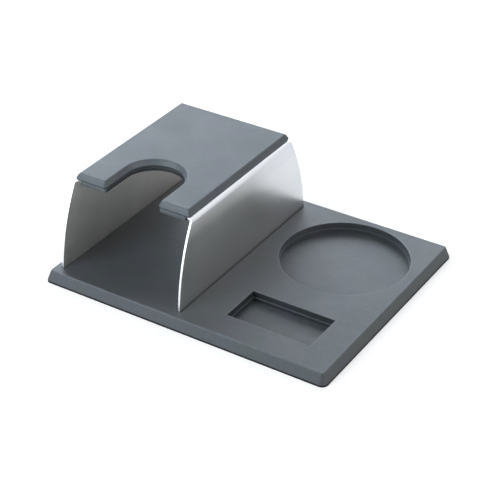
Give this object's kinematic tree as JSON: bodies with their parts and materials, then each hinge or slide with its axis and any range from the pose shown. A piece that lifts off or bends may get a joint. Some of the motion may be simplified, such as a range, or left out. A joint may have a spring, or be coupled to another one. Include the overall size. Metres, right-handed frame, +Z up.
{
  "type": "espresso tamping station",
  "caption": "Rubber worktop mat with a round and a rectangular recess, and a folded steel bridge with a U-slotted rubber pad that holds a portafilter for tamping.",
  "frame": {"origin": "on the floor under the middle of the mat", "axes": "+X right, the long way of the mat, with the bridge on the left; +Y to the back, away from the slot's mouth; +Z up"},
  "size_m": [0.25, 0.202, 0.0858],
  "materials": {
    "mat_rubber": "satin moulded rubber, dark blue-grey",
    "bridge_steel": "brushed stainless steel, deburred cut edges",
    "pad_rubber": "satin moulded rubber, blue-grey"
  },
  "bodies": {
    "root": {"base_mat": "mat_rubber", "steel_bridge": "bridge_steel", "top_pad": "pad_rubber"}
  },
  "joints": []
}
